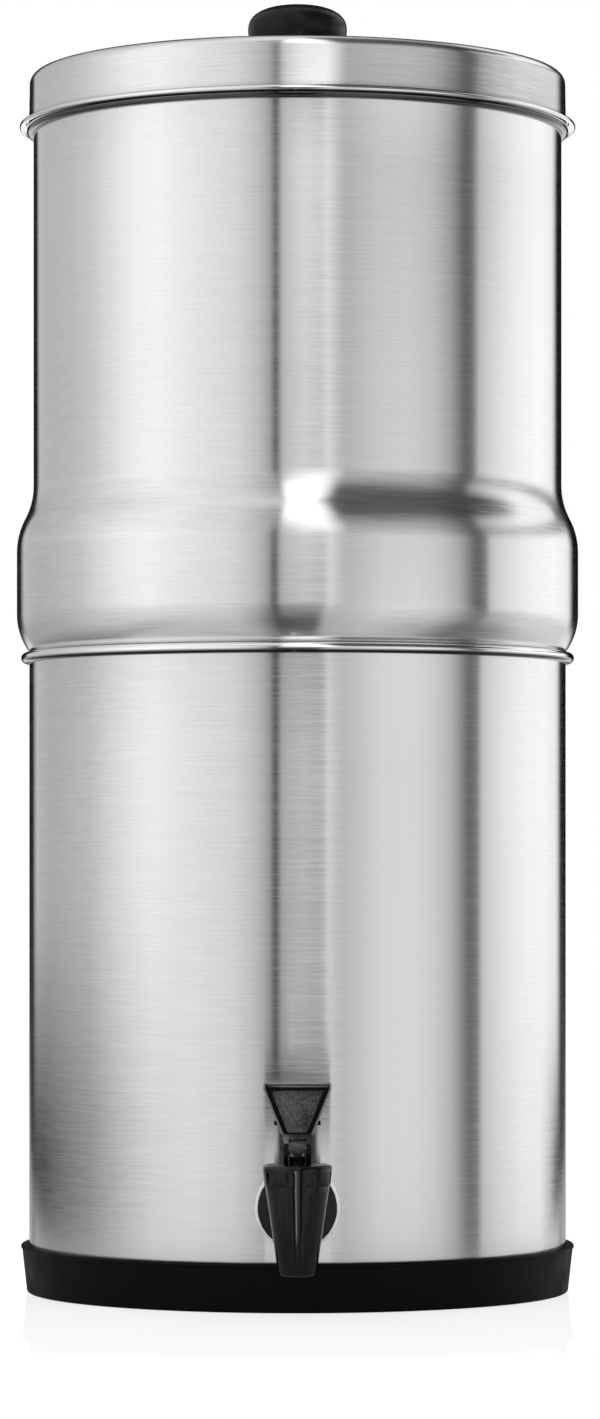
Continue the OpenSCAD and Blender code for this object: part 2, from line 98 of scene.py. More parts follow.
# Each tier covers the one below it from the first to the second height, as the Z of
# the way looked, with its light at each azimuth, where 1 is white.
TIERS = (
    (-0.98, -0.88, (
        (-180, 0.90), (-156, 0.60), (-145, 0.20), (-115, 0.42), (-88, 0.62), (-27, 0.55), (-17, 0.34), (-8.5, 0.04),
        (9, 0.10), (12, 0.46), (35, 0.60), (60, 0.45), (76, 0.14), (96, 0.20), (112, 0.45), (146, 0.70), (160, 0.90),
    )),
    (-0.55, -0.25, (
        (-180, 1.00), (-165, 1.00), (-154, 0.40), (-145, 0.40), (-115, 0.46), (-88, 0.64), (-64, 0.80), (-27, 0.70),
        (-17, 0.46), (-8.5, 0.04), (-6, 0.24), (9, 0.24), (12, 0.56), (16, 0.52), (35, 0.76), (48, 0.76), (60, 0.66),
        (76, 0.24), (82, 0.20), (86, 0.44), (112, 0.76), (146, 0.72), (156, 0.90), (165, 1.00),
    )),
    (-0.13, -0.02, (
        (-180, 0.02), (-158, 0.00), (-150, 0.56), (-130, 0.47), (-100, 0.55), (-76, 0.94), (-64, 1.05), (-27, 0.80),
        (-17, 0.64), (-11.5, 0.44), (-9.8, 0.02), (-8.2, 0.02), (-7, 0.47), (3, 0.47), (11.2, 0.42), (12.6, 0.86),
        (15, 0.74), (18, 0.63), (22, 0.68), (35, 0.93), (48, 0.98), (60, 0.88), (69, 0.66), (77, 0.13), (82.5, 0.17),
        (85, 0.80), (96, 1.02), (112, 1.14), (130, 1.16), (146, 0.95), (154, 0.00), (172, 0.00),
    )),
    (0.04, 0.13, (
        (-180, 0.02), (-158, 0.00), (-154, 0.60), (-145, 0.54), (-115, 0.64), (-100, 0.80), (-76, 1.22), (-64, 1.28),
        (-27, 0.90), (-17, 0.68), (-11.5, 0.48), (-9.8, 0.04), (-8.2, 0.04), (-7, 0.82), (3, 1.02), (9.5, 0.62),
        (11.5, 0.74), (14.5, 0.54), (18, 0.38), (22, 0.46), (35, 0.60), (48, 0.64), (60, 0.56), (68, 0.36), (76, 0.08),
        (81, 0.14), (84, 0.60), (96, 0.92), (112, 1.20), (130, 1.28), (146, 1.05), (155, 0.00),
    )),
    (0.16, 0.20, (
        (-180, 0.02), (-158, 0.00), (-154, 0.50), (-145, 0.48), (-115, 0.58), (-100, 0.68), (-76, 0.98), (-64, 1.03),
        (-27, 0.78), (-11.5, 0.46), (-8.5, 0.16), (-6, 0.50), (3, 0.98), (12, 1.30), (17, 1.05), (21, 0.50), (35, 0.48),
        (48, 0.50), (60, 0.42), (68, 0.24), (76, 0.10), (81, 0.10), (84, 0.16), (96, 0.34), (112, 0.44), (146, 0.34),
        (158, 0.02),
    )),
    (0.28, 0.33, (
        (-180, 0.02), (-158, 0.00), (-154, 0.55), (-145, 0.50), (-115, 0.60), (-100, 0.76), (-64, 1.05), (-27, 0.80),
        (-11.5, 0.46), (-8.5, 0.20), (-6, 0.80), (3, 1.20), (12, 1.30), (16, 0.80), (20, 0.40), (48, 0.45),
        (60, 0.40), (76, 0.10), (81, 0.14), (84, 0.50), (96, 0.85), (112, 1.15), (146, 1.05), (155, 0.00),
    )),
    (0.42, 0.56, (
        (-180, 0.02), (-158, 0.00), (-154, 0.56), (-145, 0.48), (-100, 0.76), (-88, 0.91), (-64, 1.00), (-27, 0.73),
        (-11.5, 0.42), (-8.5, 0.30), (-5, 1.60), (9, 1.60), (15, 0.90), (19, 0.08), (60, 0.08), (96, 0.02),
        (112, 0.08), (124, 0.95), (140, 1.05), (150, 0.45), (160, 0.02),
    )),
    (0.76, 0.84, (
        (-180, 0.02), (-152, 0.02), (-144, 0.60), (-88, 0.91), (-64, 1.00), (-27, 0.80), (-8.5, 0.60), (-5, 1.80),
        (9, 1.80), (15, 0.90), (19, 0.06), (105, 0.06), (120, 0.45), (138, 0.50), (148, 0.20), (158, 0.02),
    )),
    (0.83, 0.89, (
        (-180, 0.70), (-120, 0.60), (-60, 0.85), (-9, 0.90), (9, 1.20), (19, 0.08), (105, 0.08), (135, 0.60),
        (180, 0.70),
    )),
)
BRIGHTEST, STRAIGHT_DOWN = 2.0, 0.02
CARD_AT, CARD_EDGE = (0, 0.99756, 0.06976), (0.9970, 0.9978)


def grey(level):
    return (level / BRIGHTEST, level / BRIGHTEST, level / BRIGHTEST, 1)


def tier(tree, turn, levels):
    """A ramp through the levels, where turn is 0 at azimuth -180 and 1 at 180."""
    ramp = add(tree, "ValToRGB", {0: turn})
    stops = ramp.color_ramp.elements
    while len(stops) < len(levels):
        stops.new(0.5)
    for stop, (azimuth, level) in zip(stops, levels):
        stop.position = (azimuth + 180) / 360
        stop.color = grey(level)
    return ramp.outputs[0]


def seen_by(tree):
    """Whether the camera sees a thing, and whether a polished or clear one does."""
    sees = add(tree, "LightPath").outputs
    return sees["Is Camera Ray"], maths(tree, "MAXIMUM", sees["Is Glossy Ray"], sees["Is Transmission Ray"])


studio = bpy.data.worlds.new("studio")
bpy.context.scene.world = studio
studio.use_nodes = True
room = studio.node_tree
room.nodes.clear()
direction = add(room, "TexCoord").outputs["Generated"]
way = add(room, "SeparateXYZ", {0: direction}).outputs
turn = spread(room, maths(room, "ARCTAN2", way["X"], maths(room, "MULTIPLY", way["Y"], -1.0)), -pi, pi)
panels = grey(STRAIGHT_DOWN)
for low, high, levels in TIERS:
    rise = add(room, "MapRange", {0: way["Z"], 1: low, 2: high}, interpolation_type="SMOOTHSTEP").outputs[0]
    panels = blended(room, rise, panels, tier(room, turn, levels))
towards_card = add(room, "VectorMath", {0: direction, 1: CARD_AT}, operation="DOT_PRODUCT").outputs["Value"]
panels = blended(room, spread(room, towards_card, *CARD_EDGE), panels, grey(1))
in_camera, in_gloss = seen_by(room)
soft_light = add(room, "Background", {"Color": (1, 1, 1, 1), "Strength": 1.35})
panel_light = add(room, "Background", {"Color": panels, "Strength": BRIGHTEST})
backdrop = add(room, "Background", {"Color": (1, 1, 1, 1), "Strength": 1.0})
lit = add(room, "MixShader", {0: in_gloss, 1: soft_light.outputs[0], 2: panel_light.outputs[0]})
seen = add(room, "MixShader", {0: in_camera, 1: lit.outputs[0], 2: backdrop.outputs[0]})
add(room, "OutputWorld", {0: seen.outputs[0]})


def new_paint(name):
    """A new material, its nodes and its shader."""
    made = bpy.data.materials.new(name)
    made.use_nodes = True
    return made, made.node_tree, made.node_tree.nodes["Principled BSDF"]


def board(name, size, at, rotation):
    """A dark board that only polished things see, as its nodes, its shader and its X, Y, Z."""
    bpy.ops.object.select_all(action="DESELECT")
    bpy.ops.mesh.primitive_plane_add(size=1, location=at, rotation=rotation)
    made = bpy.context.object
    made.name = name
    made.scale = (*size, 1)
    bpy.ops.object.transform_apply(location=True, rotation=True, scale=True)
    paint, tree, skin = new_paint(name)
    connect(tree, skin, {"Base Color": (0.01, 0.01, 0.01, 1), "Specular IOR Level": 0.0})
    made.data.materials.append(paint)
    made.visible_camera = False
    made.visible_diffuse = False
    made.visible_shadow = False
    return tree, skin, add(tree, "SeparateXYZ", {0: add(tree, "TexCoord").outputs["Object"]}).outputs


BOARDS_END = 0.9
for name, x, front, dense_from, board_top, density in (
    ("left_board", -0.36, -0.42, 0.25, 0.15, 0.95), ("right_board", 0.36, 0.14, 0.34, 0.10, 1.0)
):
    size, middle = (BOARDS_END - front, board_top), (x, (BOARDS_END + front) / 2, board_top / 2)
    tree, skin, where = board(name, size, middle, (pi / 2, 0, pi / 2))
    along = spread(tree, where[1], front, dense_from, 0.0, density)
    connect(tree, skin, {"Alpha": maths(tree, "MULTIPLY", along, spread(tree, where[2], board_top, 0.2 * board_top))})
LAMP_HALF, LAMP_POWER, LAMP_LIT_TO = 35, 8, 0.066
lamp_tree, lamp, lamp_at = board("tap_lamp", (0.07, 0.094), (0, -0.2, 0.046), (pi / 2, 0, 0))
glow = tier(lamp_tree, spread(lamp_tree, lamp_at[0], -0.035, 0.035), [
    (x * 180 / LAMP_HALF, level * BRIGHTEST / LAMP_POWER) for x, level in (
        (-35, 0.65), (-21, 0.65), (-20, 0), (-8, 0), (-7.5, 8), (-3.5, 8), (-3, 0.1), (0, 1.3), (8.5, 1.3), (9, 0),
        (20, 0), (21, 0.7), (35, 0.7),
    )
])
below_paddle = maths(lamp_tree, "LESS_THAN", lamp_at[2], LAMP_LIT_TO)
connect(lamp_tree, lamp, {
    "Alpha": add(lamp_tree, "NewGeometry").outputs["Backfacing"],
    "Emission Color": glow,
    "Emission Strength": maths(lamp_tree, "MULTIPLY", below_paddle, LAMP_POWER),
})

# ---- Floor ----
# A round table top of polished white plastic. It keeps the object's shadow and
# mirrors it faintly.
CAMERA_LIFT, GLOSS_LIFT = 0.72, 0.12
bpy.ops.object.select_all(action="DESELECT")
bpy.ops.mesh.primitive_circle_add(vertices=128, radius=0.28, fill_type="NGON", location=(0, 0, -0.0002))
floor = bpy.context.object
floor.name = "floor"
table_top, top_tree, top = new_paint("table_top")
in_camera, in_gloss = seen_by(top_tree)
lift = maths(top_tree, "MULTIPLY_ADD", in_camera, CAMERA_LIFT, maths(top_tree, "MULTIPLY", in_gloss, GLOSS_LIFT))
connect(top_tree, top, {
    "Base Color": (0.22, 0.22, 0.22, 1), "Roughness": 0.06, "Specular IOR Level": 0.0007,
    "Emission Color": (1, 1, 1, 1), "Emission Strength": lift,
})
floor.data.materials.append(table_top)

# ---- Lower chamber ----
# A deep-drawn can of 0.8 mm stainless sheet with a rolled rim, brushed on a lathe
# so that its grain runs round it. The tap's shank goes through a hole in front.
MM = 0.001
SHEET = 0.8
WALL_R = 108
CURL_END = -120


def arc(cx, cz, r, a0, a1, n):
    """Points (radius, height) along an arc from angle a0 to a1, in degrees."""
    turns = [radians(a0 + (a1 - a0) * i / n) for i in range(n + 1)]
    return [(cx + r * cos(a), cz + r * sin(a)) for a in turns]


def sheet_outline(path, t):
    """Both faces of a sheet: out along the path, and back t to the left of it."""
    path = [Vector(p) for i, p in enumerate(path) if i == 0 or (Vector(p) - Vector(path[i - 1])).length > 1e-3]
    back = []
    for i, p in enumerate(path):
        j = max(i, 1)
        k = min(i + 1, len(path) - 1)
        before = (path[j] - path[j - 1]).normalized()
        after = (path[k] - path[k - 1]).normalized()
        left = Vector((-before.y, before.x))
        middle = (left + Vector((-after.y, after.x))).normalized()
        back.append(p + middle * t / middle.dot(left))
    return [tuple(p) for p in path + back[::-1]]


def start_piece(name):
    """A new mesh object in edit mode that holds one vertex at the origin."""
    bpy.ops.object.select_all(action="DESELECT")
    bpy.ops.mesh.primitive_plane_add(size=MM)
    piece = bpy.context.object
    piece.name = name
    piece.data.name = name
    bpy.ops.object.mode_set(mode="EDIT")
    bpy.ops.mesh.merge(type="CENTER")
    return piece


def draw(points):
    """Moves the vertex to the first point, in mm, and extrudes it through the others."""
    at = Vector((0, 0, 0))
    for i, point in enumerate(points):
        step = Vector(point) * MM - at
        if i == 0:
            bpy.ops.transform.translate(value=step)
        else:
            bpy.ops.mesh.extrude_region_move(TRANSFORM_OT_translate={"value": step})
        at += step
    bpy.ops.mesh.select_all(action="SELECT")
    bpy.ops.mesh.remove_doubles(threshold=1e-6)


def pick(piece):
    """Selects the piece alone and makes it the active one."""
    bpy.ops.object.select_all(action="DESELECT")
    piece.select_set(True)
    bpy.context.view_layer.objects.active = piece


def smooth(piece, angle=35):
    pick(piece)
    bpy.ops.object.shade_smooth_by_angle(angle=radians(angle))


def turned(name, outline, closed=False, steps=288, axis_at=(0, 0)):
    """Turns an outline of (radius, height) points, in mm, about an upright axis."""
    x, y = axis_at
    piece = start_piece(name)
    draw([(x + r, y, z) for r, z in outline + outline[:1] * closed])
    bpy.ops.mesh.spin(steps=steps, angle=2 * pi, center=(x * MM, y * MM, 0), axis=(0, 0, 1))
    bpy.ops.mesh.select_all(action="SELECT")
    bpy.ops.mesh.remove_doubles(threshold=2e-6)
    bpy.ops.mesh.normals_make_consistent(inside=False)
    bpy.ops.object.mode_set(mode="OBJECT")
    smooth(piece)
    return piece


def combine(piece, other, operation):
    """Cuts the other solid out of the piece, or joins it on, and removes the other."""
    change = piece.modifiers.new("combine", "BOOLEAN")
    change.operation = operation
    change.solver = "EXACT"
    change.object = other
    pick(piece)
    bpy.ops.object.modifier_apply(modifier="combine")
    bpy.data.objects.remove(other)


def drill(piece, at, d, length, along=(0, 0, 0)):
    """A round hole of diameter d about the point at, in mm, turned by the angles along."""
    bpy.ops.object.select_all(action="DESELECT")
    bpy.ops.mesh.primitive_cylinder_add(
        vertices=64, radius=d / 2 * MM, depth=length * MM, location=Vector(at) * MM, rotation=along
    )
    combine(piece, bpy.context.object, "DIFFERENCE")


def place(piece, body, finish, slot, *nodes):
    """Gives a piece its finish and body, and hides the plain solids that it stands for."""
    if finish:
        piece.data.materials.clear()
        piece.data.materials.append(finish)
    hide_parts(*nodes)
    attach(piece, body)


def brushed_steel(name, roll_r, roll_z, dark, unshaded, most=0.97, fade=(1, 2), crease=None):
    """Lathe-brushed stainless: streaks run round the axis, on walls and flat faces alike.
    Beyond the radius roll_r and above the height roll_z, in mm, the rolled edge is
    smoother and its colour is painted lighter as a highlight, and darker with painted shade
    on its underside: by most where its normal's Z is dark, not at all where it is unshaded,
    and less as X goes through fade. Painted shade darkens a crease of that radius, more towards +X."""
    finish, tree, metal = new_paint(name)
    at = add(tree, "TexCoord").outputs["Object"]
    x, y, z = add(tree, "SeparateXYZ", {0: at}).outputs
    outward = add(tree, "VectorMath", {0: at, 1: (1, 1, 0)}, operation="MULTIPLY").outputs[0]
    radius = add(tree, "VectorMath", {0: outward}, operation="LENGTH").outputs["Value"]
    grain = add(tree, "CombineXYZ", {0: x, 1: y, 2: maths(tree, "MULTIPLY_ADD", radius, 0.6, z)}).outputs[0]

    def streaks(length, width, detail):
        size = add(tree, "VectorMath", {0: grain, 1: (1 / length, 1 / length, 1 / width)}, operation="MULTIPLY")
        return add(tree, "TexNoise", {"Vector": size.outputs[0], "Scale": 1.0, "Detail": detail}).outputs[0]

    hairs = streaks(0.016, 0.0004, 2.0)
    passes = streaks(0.07, 0.0024, 3.0)
    marks = maths(tree, "MULTIPLY_ADD", passes, 0.4, hairs)
    tone = spread(tree, marks, 0.5, 0.9, 0.78, 0.86)
    rough = spread(tree, marks, 0.5, 0.9, 0.14, 0.19)
    dents = add(tree, "Bump", {"Strength": 0.14, "Distance": 0.00005, "Height": marks})

    # Painted light on the rolled edge: its colour is 16% lighter as a painted highlight, and darker with painted shade
    # where its normal points down, in the middle of X.
    beyond = spread(tree, radius, roll_r * MM, (roll_r + 0.2) * MM)
    roll = maths(tree, "MULTIPLY", beyond, maths(tree, "GREATER_THAN", z, roll_z * MM))
    facing = add(tree, "SeparateXYZ", {0: add(tree, "NewGeometry").outputs["Normal"]}).outputs
    under = spread(tree, facing[2], dark, unshaded, most, 0.0)
    front = spread(tree, maths(tree, "ABSOLUTE", x), *fade, 1.0, 0.0)
    shade_strength, rim_highlight = 1.15, 0.16
    painted_shade = maths(tree, "MULTIPLY_ADD", maths(tree, "MULTIPLY", under, front), shade_strength, -rim_highlight)
    painted_light = maths(tree, "SUBTRACT", 1.0, maths(tree, "MULTIPLY", roll, painted_shade))
    # Painted shade: a dark line in the crease at the skirt's foot, deeper towards +X.
    if crease:
        start = spread(tree, radius, (crease - 0.03) * MM, (crease + 0.05) * MM)
        stop = spread(tree, radius, (crease + 0.3) * MM, (crease + 0.5) * MM, 1.0, 0.0)
        depth = spread(tree, x, -0.02, 0.05, 0.45, 0.92)
        crease_shade = maths(tree, "MULTIPLY", maths(tree, "MULTIPLY", start, stop), depth)
        painted_light = maths(tree, "MULTIPLY", painted_light, maths(tree, "SUBTRACT", 1.0, crease_shade))
    connect(tree, metal, {
        "Metallic": 1.0,
        "Base Color": maths(tree, "MULTIPLY", tone, painted_light),
        "Roughness": add(tree, "Mix", {0: roll, 2: rough, 3: 0.09}).outputs[0],
        "Anisotropic": spread(tree, roll, 0.0, 1.0, 0.97, 0.3),
        "Anisotropic Rotation": 0.25,
        "Normal": dents.outputs[0],
        "Tangent": add(tree, "Tangent", direction_type="RADIAL", axis="Z").outputs[0],
    })
    return finish


LOWER_FLOOR_Z = 6
LOWER_RIM_Z = 254.5
TAP_Z, TAP_HOLE_D = 40.5, 16.4
corner_r, lower_bead_r = 6, 2.05
lower_path = (
    [(0, LOWER_FLOOR_Z), (60, LOWER_FLOOR_Z)]
    + arc(WALL_R - corner_r, LOWER_FLOOR_Z + corner_r, corner_r, -90, 0, 12)
    + [(WALL_R, z) for z in (28, 52, 90, 130, 170, 210)]
    + arc(WALL_R - SHEET + lower_bead_r, LOWER_RIM_Z, lower_bead_r - SHEET, 180, CURL_END, 28)
)
lower_chamber = turned("lower_chamber_can", sheet_outline(lower_path, SHEET))
drill(lower_chamber, (0, -WALL_R, TAP_Z), TAP_HOLE_D, 12, (pi / 2, 0, 0))
smooth(lower_chamber)
# Its rolled rim is painted lighter as a highlight, and darker with painted shade on its faces that point down.
lower_steel = brushed_steel("lower_brushed_steel", WALL_R + 0.15, 200, -0.55, -0.15)
place(lower_chamber, "lower_tank", lower_steel, "brushed_steel", "lower_chamber")


# ---- Base ring ----
# A moulded ring of black rubber that the lower chamber is pressed into. It keeps
# the steel floor off the table and covers the can's bottom edge.
def moulded(name, colour, roughness, specular=0.5, grain=0.0006, depth=0.00001):
    """Moulded plastic or rubber: a fine even grain and slightly uneven gloss."""
    finish, tree, skin = new_paint(name)
    at = add(tree, "TexCoord").outputs["Object"]
    fine = add(tree, "TexNoise", {"Vector": at, "Scale": 1 / grain, "Detail": 3.0}).outputs[0]
    cloudy = add(tree, "TexNoise", {"Vector": at, "Scale": 90.0, "Detail": 2.0}).outputs[0]
    darker, lighter = [tuple(c * k for c in colour) + (1,) for k in (0.88, 1.12)]
    connect(tree, skin, {
        "Base Color": blended(tree, cloudy, darker, lighter),
        "Roughness": spread(tree, cloudy, 0.3, 0.7, roughness * 0.85, roughness * 1.15),
        "Specular IOR Level": specular,
        "Normal": add(tree, "Bump", {"Strength": 0.3, "Distance": depth, "Height": fine}).outputs[0],
    })
    return finish


rubber = moulded("black_rubber", (0.003, 0.003, 0.0032), 0.45, specular=0.08, grain=0.0005, depth=0.00003)
foot_r, foot_edge_r, lip_r, lip_edge_r, ring_h, ring_inner_r, gap = 109, 1.2, 111.3, 1, 19.2, 96, 0.05
base_ring = turned(
    "base_ring_rubber",
    [(ring_inner_r, 0)]
    + arc(foot_r - foot_edge_r, foot_edge_r, foot_edge_r, -90, 0, 8)
    + arc(lip_r - lip_edge_r, ring_h - lip_edge_r, lip_edge_r, -60, 90, 12)
    + [(WALL_R + gap, ring_h), (WALL_R + gap, LOWER_FLOOR_Z), (ring_inner_r, LOWER_FLOOR_Z)],
    closed=True,
)
place(base_ring, "lower_tank", rubber, "black_rubber", "base_ring")


# ---- Tap body, washers and nut ----
# The spout and its threaded shank are one glossy black moulding. A white silicone
# washer seals it outside the wall, and a second washer and a nut clamp it inside.
def round_edges(piece, width, segments=3, miter="MITER_ARC", finish=-1):
    """Rounds sharp edges by width, in mm; finish is the material slot of the new faces."""
    pick(piece)
    rounding = piece.modifiers.new("rounding", "BEVEL")
    rounding.width = width * MM
    rounding.segments = segments
    rounding.limit_method = "ANGLE"
    rounding.angle_limit = radians(40)
    rounding.miter_outer = miter
    rounding.material = finish
    bpy.ops.object.modifier_apply(modifier="rounding")


def dress(node, shape, edge, body, finish, slot):
    """Stands a copy of a solid in its place, as one closed mesh, its edges rounded by edge, in mm, unless edge is 0."""
    piece = bpy.data.objects.new(f"{node}_{shape}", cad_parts[node].data.copy())
    bpy.context.scene.collection.objects.link(piece)
    pick(piece)
    bpy.ops.object.mode_set(mode="EDIT")
    bpy.ops.mesh.select_all(action="SELECT")
    bpy.ops.mesh.remove_doubles(threshold=2e-6)
    bpy.ops.mesh.dissolve_limited(angle_limit=radians(0.3))
    bpy.ops.object.mode_set(mode="OBJECT")
    if edge:
        round_edges(piece, edge)
    smooth(piece)
    place(piece, body, finish, slot, node)
    return piece


gloss_black = moulded("gloss_black", (0.004, 0.004, 0.0042), 0.12, specular=0.3, grain=0.003, depth=0.00004)
satin_black = moulded("satin_black", (0.004, 0.004, 0.0042), 0.3, specular=0.2, grain=0.0008)
# A lighter black for the lever's rounded edges, as a painted highlight along them.
highlight_black = moulded("painted_edge_highlight", (0.12, 0.12, 0.122), 0.2, specular=0.5)
silicone = moulded("white_silicone", (0.95, 0.95, 0.94), 0.45, specular=0.3, grain=0.0012)
dress("tap_body", "moulding", 0.3, "lower_tank", gloss_black, "gloss_black")
dress("tap_outer_washer", "ring", 0.2, "lower_tank", silicone, "white_silicone")
dress("tap_inner_washer", "ring", 0.2, "lower_tank", silicone, "white_silicone")
dress("tap_nut", "moulding", 0.4, "lower_tank", satin_black, "satin_black")

# ---- Valve: seat cup, spring and stem ----
# A silicone bell closes the seat inside the spout. The spring holds the stem down
# in it, and the eye on top of the stem takes the lever's pin.
TAP_Y = -133
CUP_LOW, CUP_HIGH, SPRING_LOW, STEM_TRAVEL = 35.02, 55.9, 42.5, 3.15
seat_cup = turned(
    "tap_seat_cup_bell",
    [
        (0, CUP_LOW), (5.2, CUP_LOW), (5.6, 35.1), (6.0, 35.4), (6.6, 36.1), (6.8, 36.7), (6.8, 42.5), (6.2, 46.5),
        (6.6, 54.4), (10.2, 54.4), (10.4, 54.6), (10.4, 55.7), (10.2, CUP_HIGH), (5.6, CUP_HIGH), (5.2, 46.5),
        (5.8, 42.5), (5.8, 41.25), (1.7, 41.25), (1.7, 39.6), (2.5, 39.6), (2.5, 38), (0, 38),
    ],
    steps=64,
    axis_at=(0, TAP_Y),
)
place(seat_cup, "valve_stem", silicone, "white_silicone", "tap_seat_cup")
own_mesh(seat_cup)


def plain_steel(name, tone, roughness):
    """Bright drawn or turned steel with fine draw marks along Z."""
    finish, tree, metal = new_paint(name)
    marks = add(tree, "Mapping", {"Vector": add(tree, "TexCoord").outputs["Object"], "Scale": (2500, 2500, 300)})
    noise = add(tree, "TexNoise", {"Vector": marks.outputs[0], "Scale": 1.0, "Detail": 3.0}).outputs[0]
    connect(tree, metal, {
        "Metallic": 1.0,
        "Base Color": spread(tree, noise, 0.3, 0.7, tone - 0.06, tone + 0.04),
        "Roughness": spread(tree, noise, 0.3, 0.7, roughness - 0.05, roughness + 0.08),
    })
    return finish


def grainy(name, low, high, size, depth, roughness):
    """A dry granular face: spark-grained plastic, fired ceramic with pores, bonded carbon."""
    finish, tree, skin = new_paint(name)
    at = add(tree, "TexCoord").outputs["Object"]
    grains = add(tree, "TexVoronoi", {"Vector": at, "Scale": 1 / size}).outputs["Distance"]
    cloudy = add(tree, "TexNoise", {"Vector": at, "Scale": 60.0, "Detail": 4.0}).outputs[0]
    share = spread(tree, maths(tree, "MULTIPLY_ADD", grains, 0.5, cloudy), 0.4, 1.0)
    connect(tree, skin, {
        "Base Color": blended(tree, share, low + (1,), high + (1,)),
        "Roughness": roughness,
        "Specular IOR Level": 0.2,
        "Normal": add(tree, "Bump", {"Strength": 0.5, "Distance": depth, "Height": grains}).outputs[0],
    })
    return finish


bright_steel = plain_steel("plain_steel", 0.72, 0.22)
grained_black = grainy("grained_black", (0.006, 0.006, 0.0062), (0.085, 0.085, 0.087), 0.0011, 0.0002, 0.5)
spring = dress("tap_stem_spring", "coil", 0, "valve_stem", bright_steel, "plain_steel")
smooth(spring, 80)
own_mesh(spring)
dress("tap_stem", "moulding", 0.25, "valve_stem", grained_black, "gloss_black")

# ---- Bonnet ----
# The screwed cap that holds the valve in. Arch-topped flutes give the fingers a
# grip, and the boss in the middle guides the stem.
dress("tap_bonnet", "cap", 0.22, "lower_tank", gloss_black, "gloss_black")

# ---- Lever and pin ----
# One glossy black moulding: a flared thumb paddle with a stepped border and a
# grained recess, on a short neck and two legs whose feet are cams on the bonnet.
PIN_Z, PIN_HOLE_D, LEG_H = 64.6, 2.5, 4.6
PADDLE_Z = PIN_Z + LEG_H
PADDLE_T, PADDLE_H, PADDLE_CORNER_R = 4.2, 20.5, 1.3
PADDLE_FOOT, PADDLE_HALF, FLARE_TOP = 6.2, 13.15, 17.5
SLOT_W, LEG_T, NECK_DEPTH = 6.6, 1.8, 6.4
STEP_DEPTH, RECESS_DEPTH, BORDER_CORNER_R = 0.35, 1.5, 0.5
CAM_LIFT, CAM_REACH, TILT, TOE_H = 3, 5.95, 60, 1.8
NUB_X, NUB_H, NUB_SIZE = 7.8, 4.8, (2, 1.6, 1.6)
FRONT_Y = TAP_Y - PADDLE_T / 2
HIGHLIGHT_EDGE, GRAINED = 1, 2


def rounded(corners, r, n=5):
    """The corners of an outline, each turned into an arc of radius r."""
    points = []
    for i, corner in enumerate(corners):
        corner = Vector(corner)
        to_last = (Vector(corners[i - 1]) - corner).normalized()
        to_next = (Vector(corners[(i + 1) % len(corners)]) - corner).normalized()
        half = to_last.angle(to_next) / 2
        centre = corner + (to_last + to_next).normalized() * r / sin(half)
        start = corner + to_last * r / tan(half) - centre
        end = corner + to_next * r / tan(half) - centre
        for k in range(n + 1):
            points.append(centre + start.slerp(end, k / n) if start.length else corner)
    return [tuple(p) for p in points]


def plate(name, outline, thickness):
    """A flat outline of (x, y, z) points, in mm, thickened by the step thickness."""
    piece = start_piece(name)
    draw(outline + outline[:1])
    bpy.ops.mesh.edge_face_add()
    bpy.ops.mesh.extrude_region_move(TRANSFORM_OT_translate={"value": Vector(thickness) * MM})
    bpy.ops.mesh.select_all(action="SELECT")
    bpy.ops.mesh.normals_make_consistent(inside=False)
    bpy.ops.object.mode_set(mode="OBJECT")
    return piece


def paddle_outline(side, foot, top, y):
    """The paddle's flared outline, moved in from its sides, foot and top."""
    slope = (PADDLE_HALF - PADDLE_FOOT) / FLARE_TOP
    shift = side * sqrt(1 + slope * slope)
    low_x = PADDLE_FOOT + slope * foot - shift
    corners = [(-low_x, foot), (low_x, foot)]
    if top < PADDLE_H - FLARE_TOP:
        wide_x, bend_z = PADDLE_HALF - side, FLARE_TOP - 0.2 * side
        corners += [(wide_x, bend_z), (wide_x, PADDLE_H - top), (-wide_x, PADDLE_H - top), (-wide_x, bend_z)]
    else:
        high_x = PADDLE_FOOT + slope * (PADDLE_H - top) - shift
        corners += [(high_x, PADDLE_H - top), (-high_x, PADDLE_H - top)]
    return [(x, y, PADDLE_Z + z) for x, z in rounded(corners, BORDER_CORNER_R if side else PADDLE_CORNER_R)]


lever = plate("tap_lever_paddle", paddle_outline(0, 0, 0, FRONT_Y), (0, PADDLE_T, 0))
for finish in (gloss_black, highlight_black, grained_black):
    lever.data.materials.append(finish)
# The faces of these roundings take the lighter black: a painted edge highlight.
round_edges(lever, 0.75, 3, "MITER_SHARP", HIGHLIGHT_EDGE)
for name, inset, depth in (("step", (1.9, 0.9, 2.0), STEP_DEPTH), ("recess", (3.3, 1.7, 4.2), RECESS_DEPTH)):
    combine(lever, plate(name, paddle_outline(*inset, FRONT_Y - 1), (0, 1 + depth, 0)), "DIFFERENCE")
round_edges(lever, 0.3, 2, "MITER_SHARP", HIGHLIGHT_EDGE)
yoke_x, yoke_low, yoke_top, slot_x, slot_top = 5.55, PADDLE_Z - 1.7, PADDLE_Z + 0.8, SLOT_W / 2, PIN_Z + 3.7
yoke = [(-yoke_x, yoke_low), (-slot_x, yoke_low), (-slot_x, slot_top), (slot_x, slot_top)]
yoke += [(slot_x, yoke_low), (yoke_x, yoke_low), (yoke_x, yoke_top), (-yoke_x, yoke_top)]
combine(lever, plate("yoke", [(x, TAP_Y - NECK_DEPTH / 2, z) for x, z in yoke], (0, NECK_DEPTH, 0)), "UNION")
cam = []
for i in range(21):
    a = radians(TILT) * i / 20
    reach = CAM_REACH + CAM_LIFT * a
    cam.append((-reach * sin(a) - CAM_LIFT * cos(a), -reach * cos(a) + CAM_LIFT * sin(a)))
leg = [(NECK_DEPTH / 2, LEG_H), (NECK_DEPTH / 2, -CAM_REACH), *cam]
leg += [(-NECK_DEPTH / 2, TOE_H), (-NECK_DEPTH / 2, LEG_H)]
